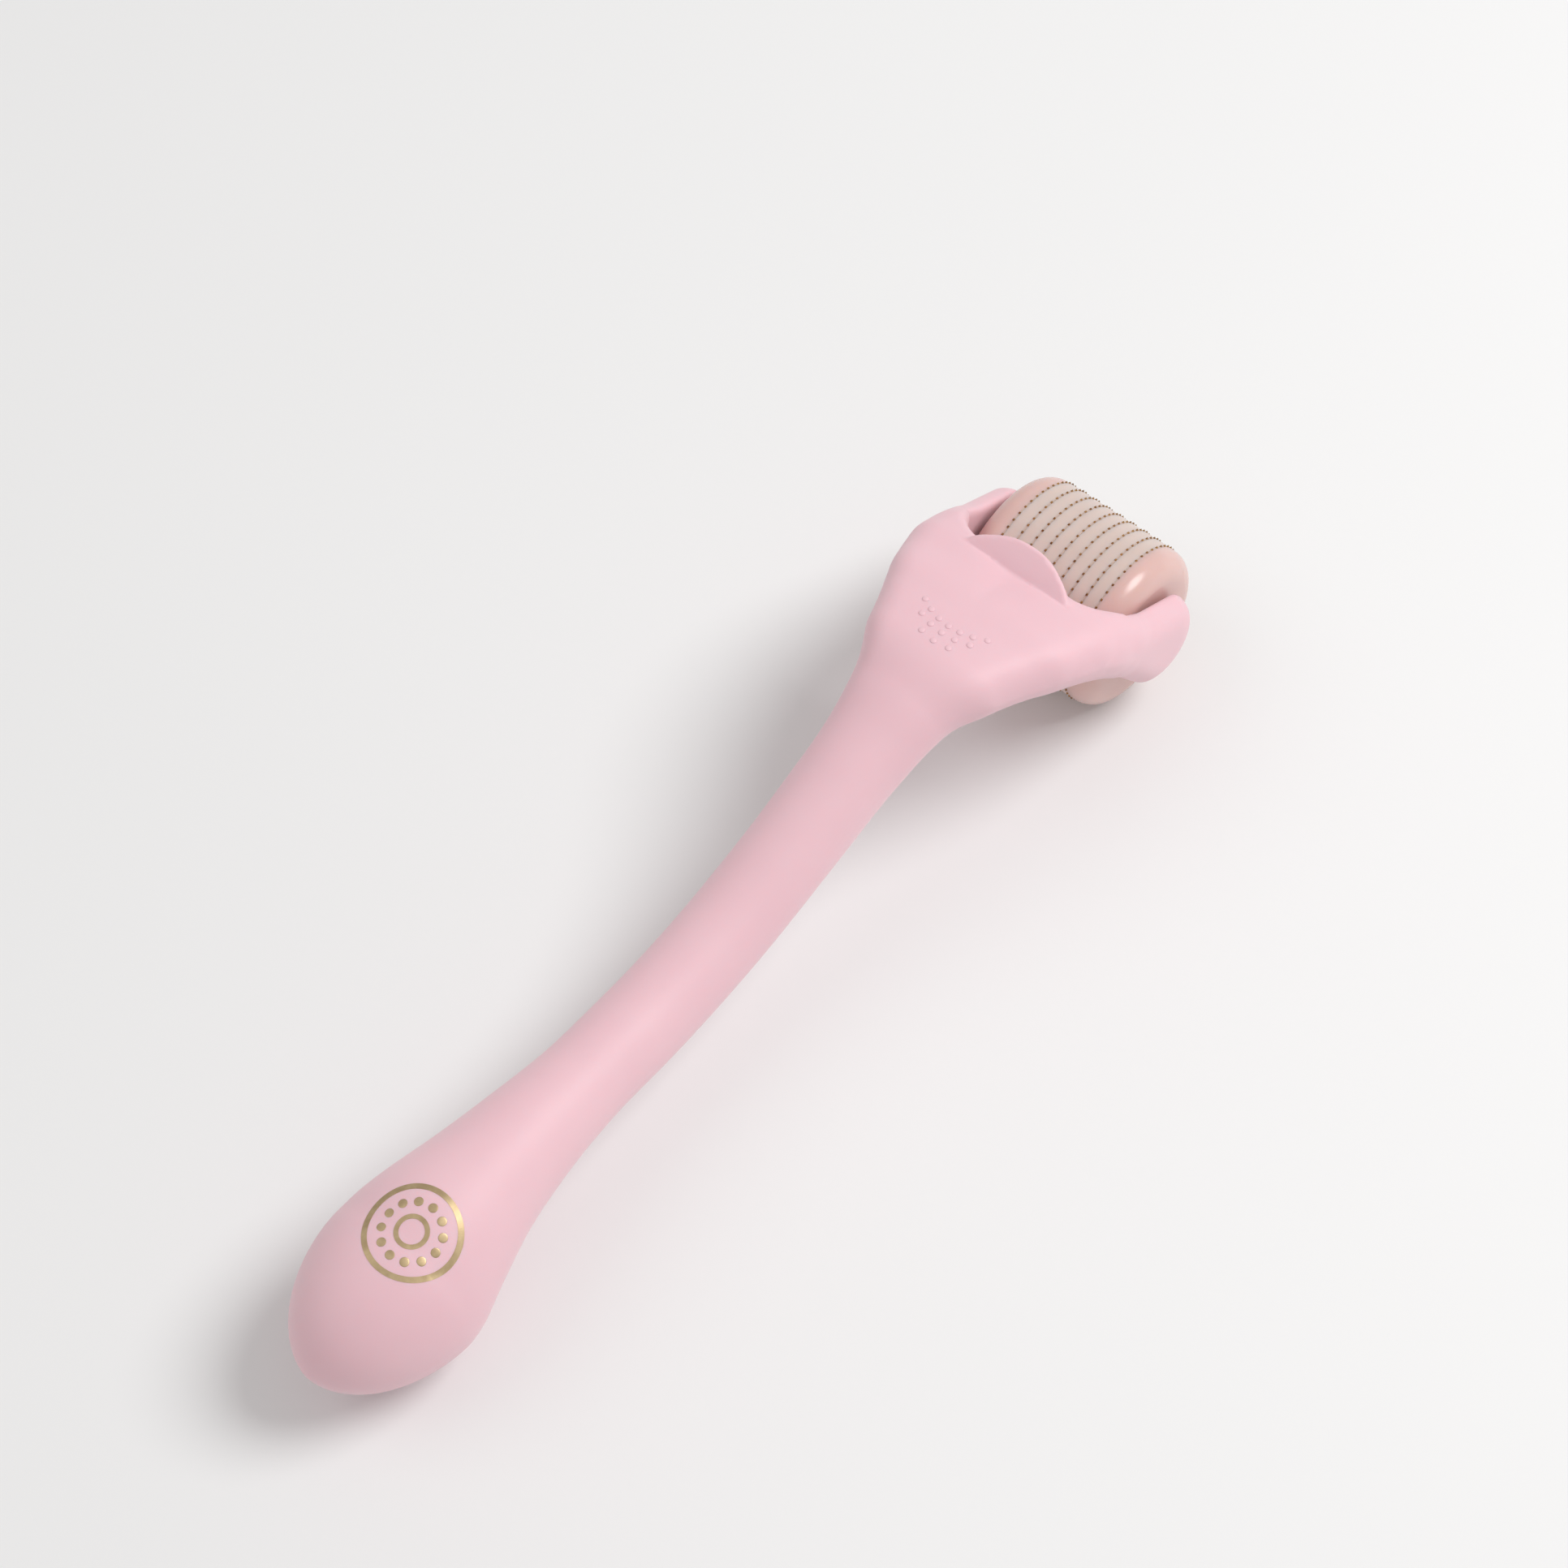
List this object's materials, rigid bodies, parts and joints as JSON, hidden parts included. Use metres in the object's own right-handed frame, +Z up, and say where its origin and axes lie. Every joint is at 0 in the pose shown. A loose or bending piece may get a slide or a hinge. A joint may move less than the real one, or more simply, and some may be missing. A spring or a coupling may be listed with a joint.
{
  "type": "derma roller",
  "caption": "Hand-held skin roller: a narrow drum of thin needle discs that spins freely in the fork of a slim, bulb-ended handle.",
  "frame": {"origin": "on the table that the roller lies on, under the middle of its bounding box", "axes": "+X along the handle towards the needle head, +Y along the drum's axle, +Z up"},
  "size_m": [0.1456, 0.031, 0.0307],
  "materials": {
    "handle": "matte soft-touch, light pink",
    "drum_core": "plain moulded, natural",
    "needles": "gold-coloured, thin sheet",
    "spacers": "satin, slightly translucent cream",
    "end_caps": "semi-gloss peach"
  },
  "bodies": {
    "handle": {"handle": "handle"},
    "roller": {"drum_core": "drum_core", "needle_disc_1": "needles", "needle_disc_2": "needles", "needle_disc_3": "needles", "needle_disc_4": "needles", "needle_disc_5": "needles", "needle_disc_6": "needles", "needle_disc_7": "needles", "needle_disc_8": "needles", "needle_disc_9": "needles", "spacer_ring_1": "spacers", "spacer_ring_2": "spacers", "spacer_ring_3": "spacers", "spacer_ring_4": "spacers", "spacer_ring_5": "spacers", "spacer_ring_6": "spacers", "spacer_ring_7": "spacers", "spacer_ring_8": "spacers", "end_cap_right": "end_caps", "end_cap_left": "end_caps"}
  },
  "joints": [
    {"name": "drum_spin", "type": "hinge", "parent": "handle", "child": "roller", "pos_m": [0.06165, 0, 0.01115], "axis": [0, 1, 0], "continuous": true}
  ]
}
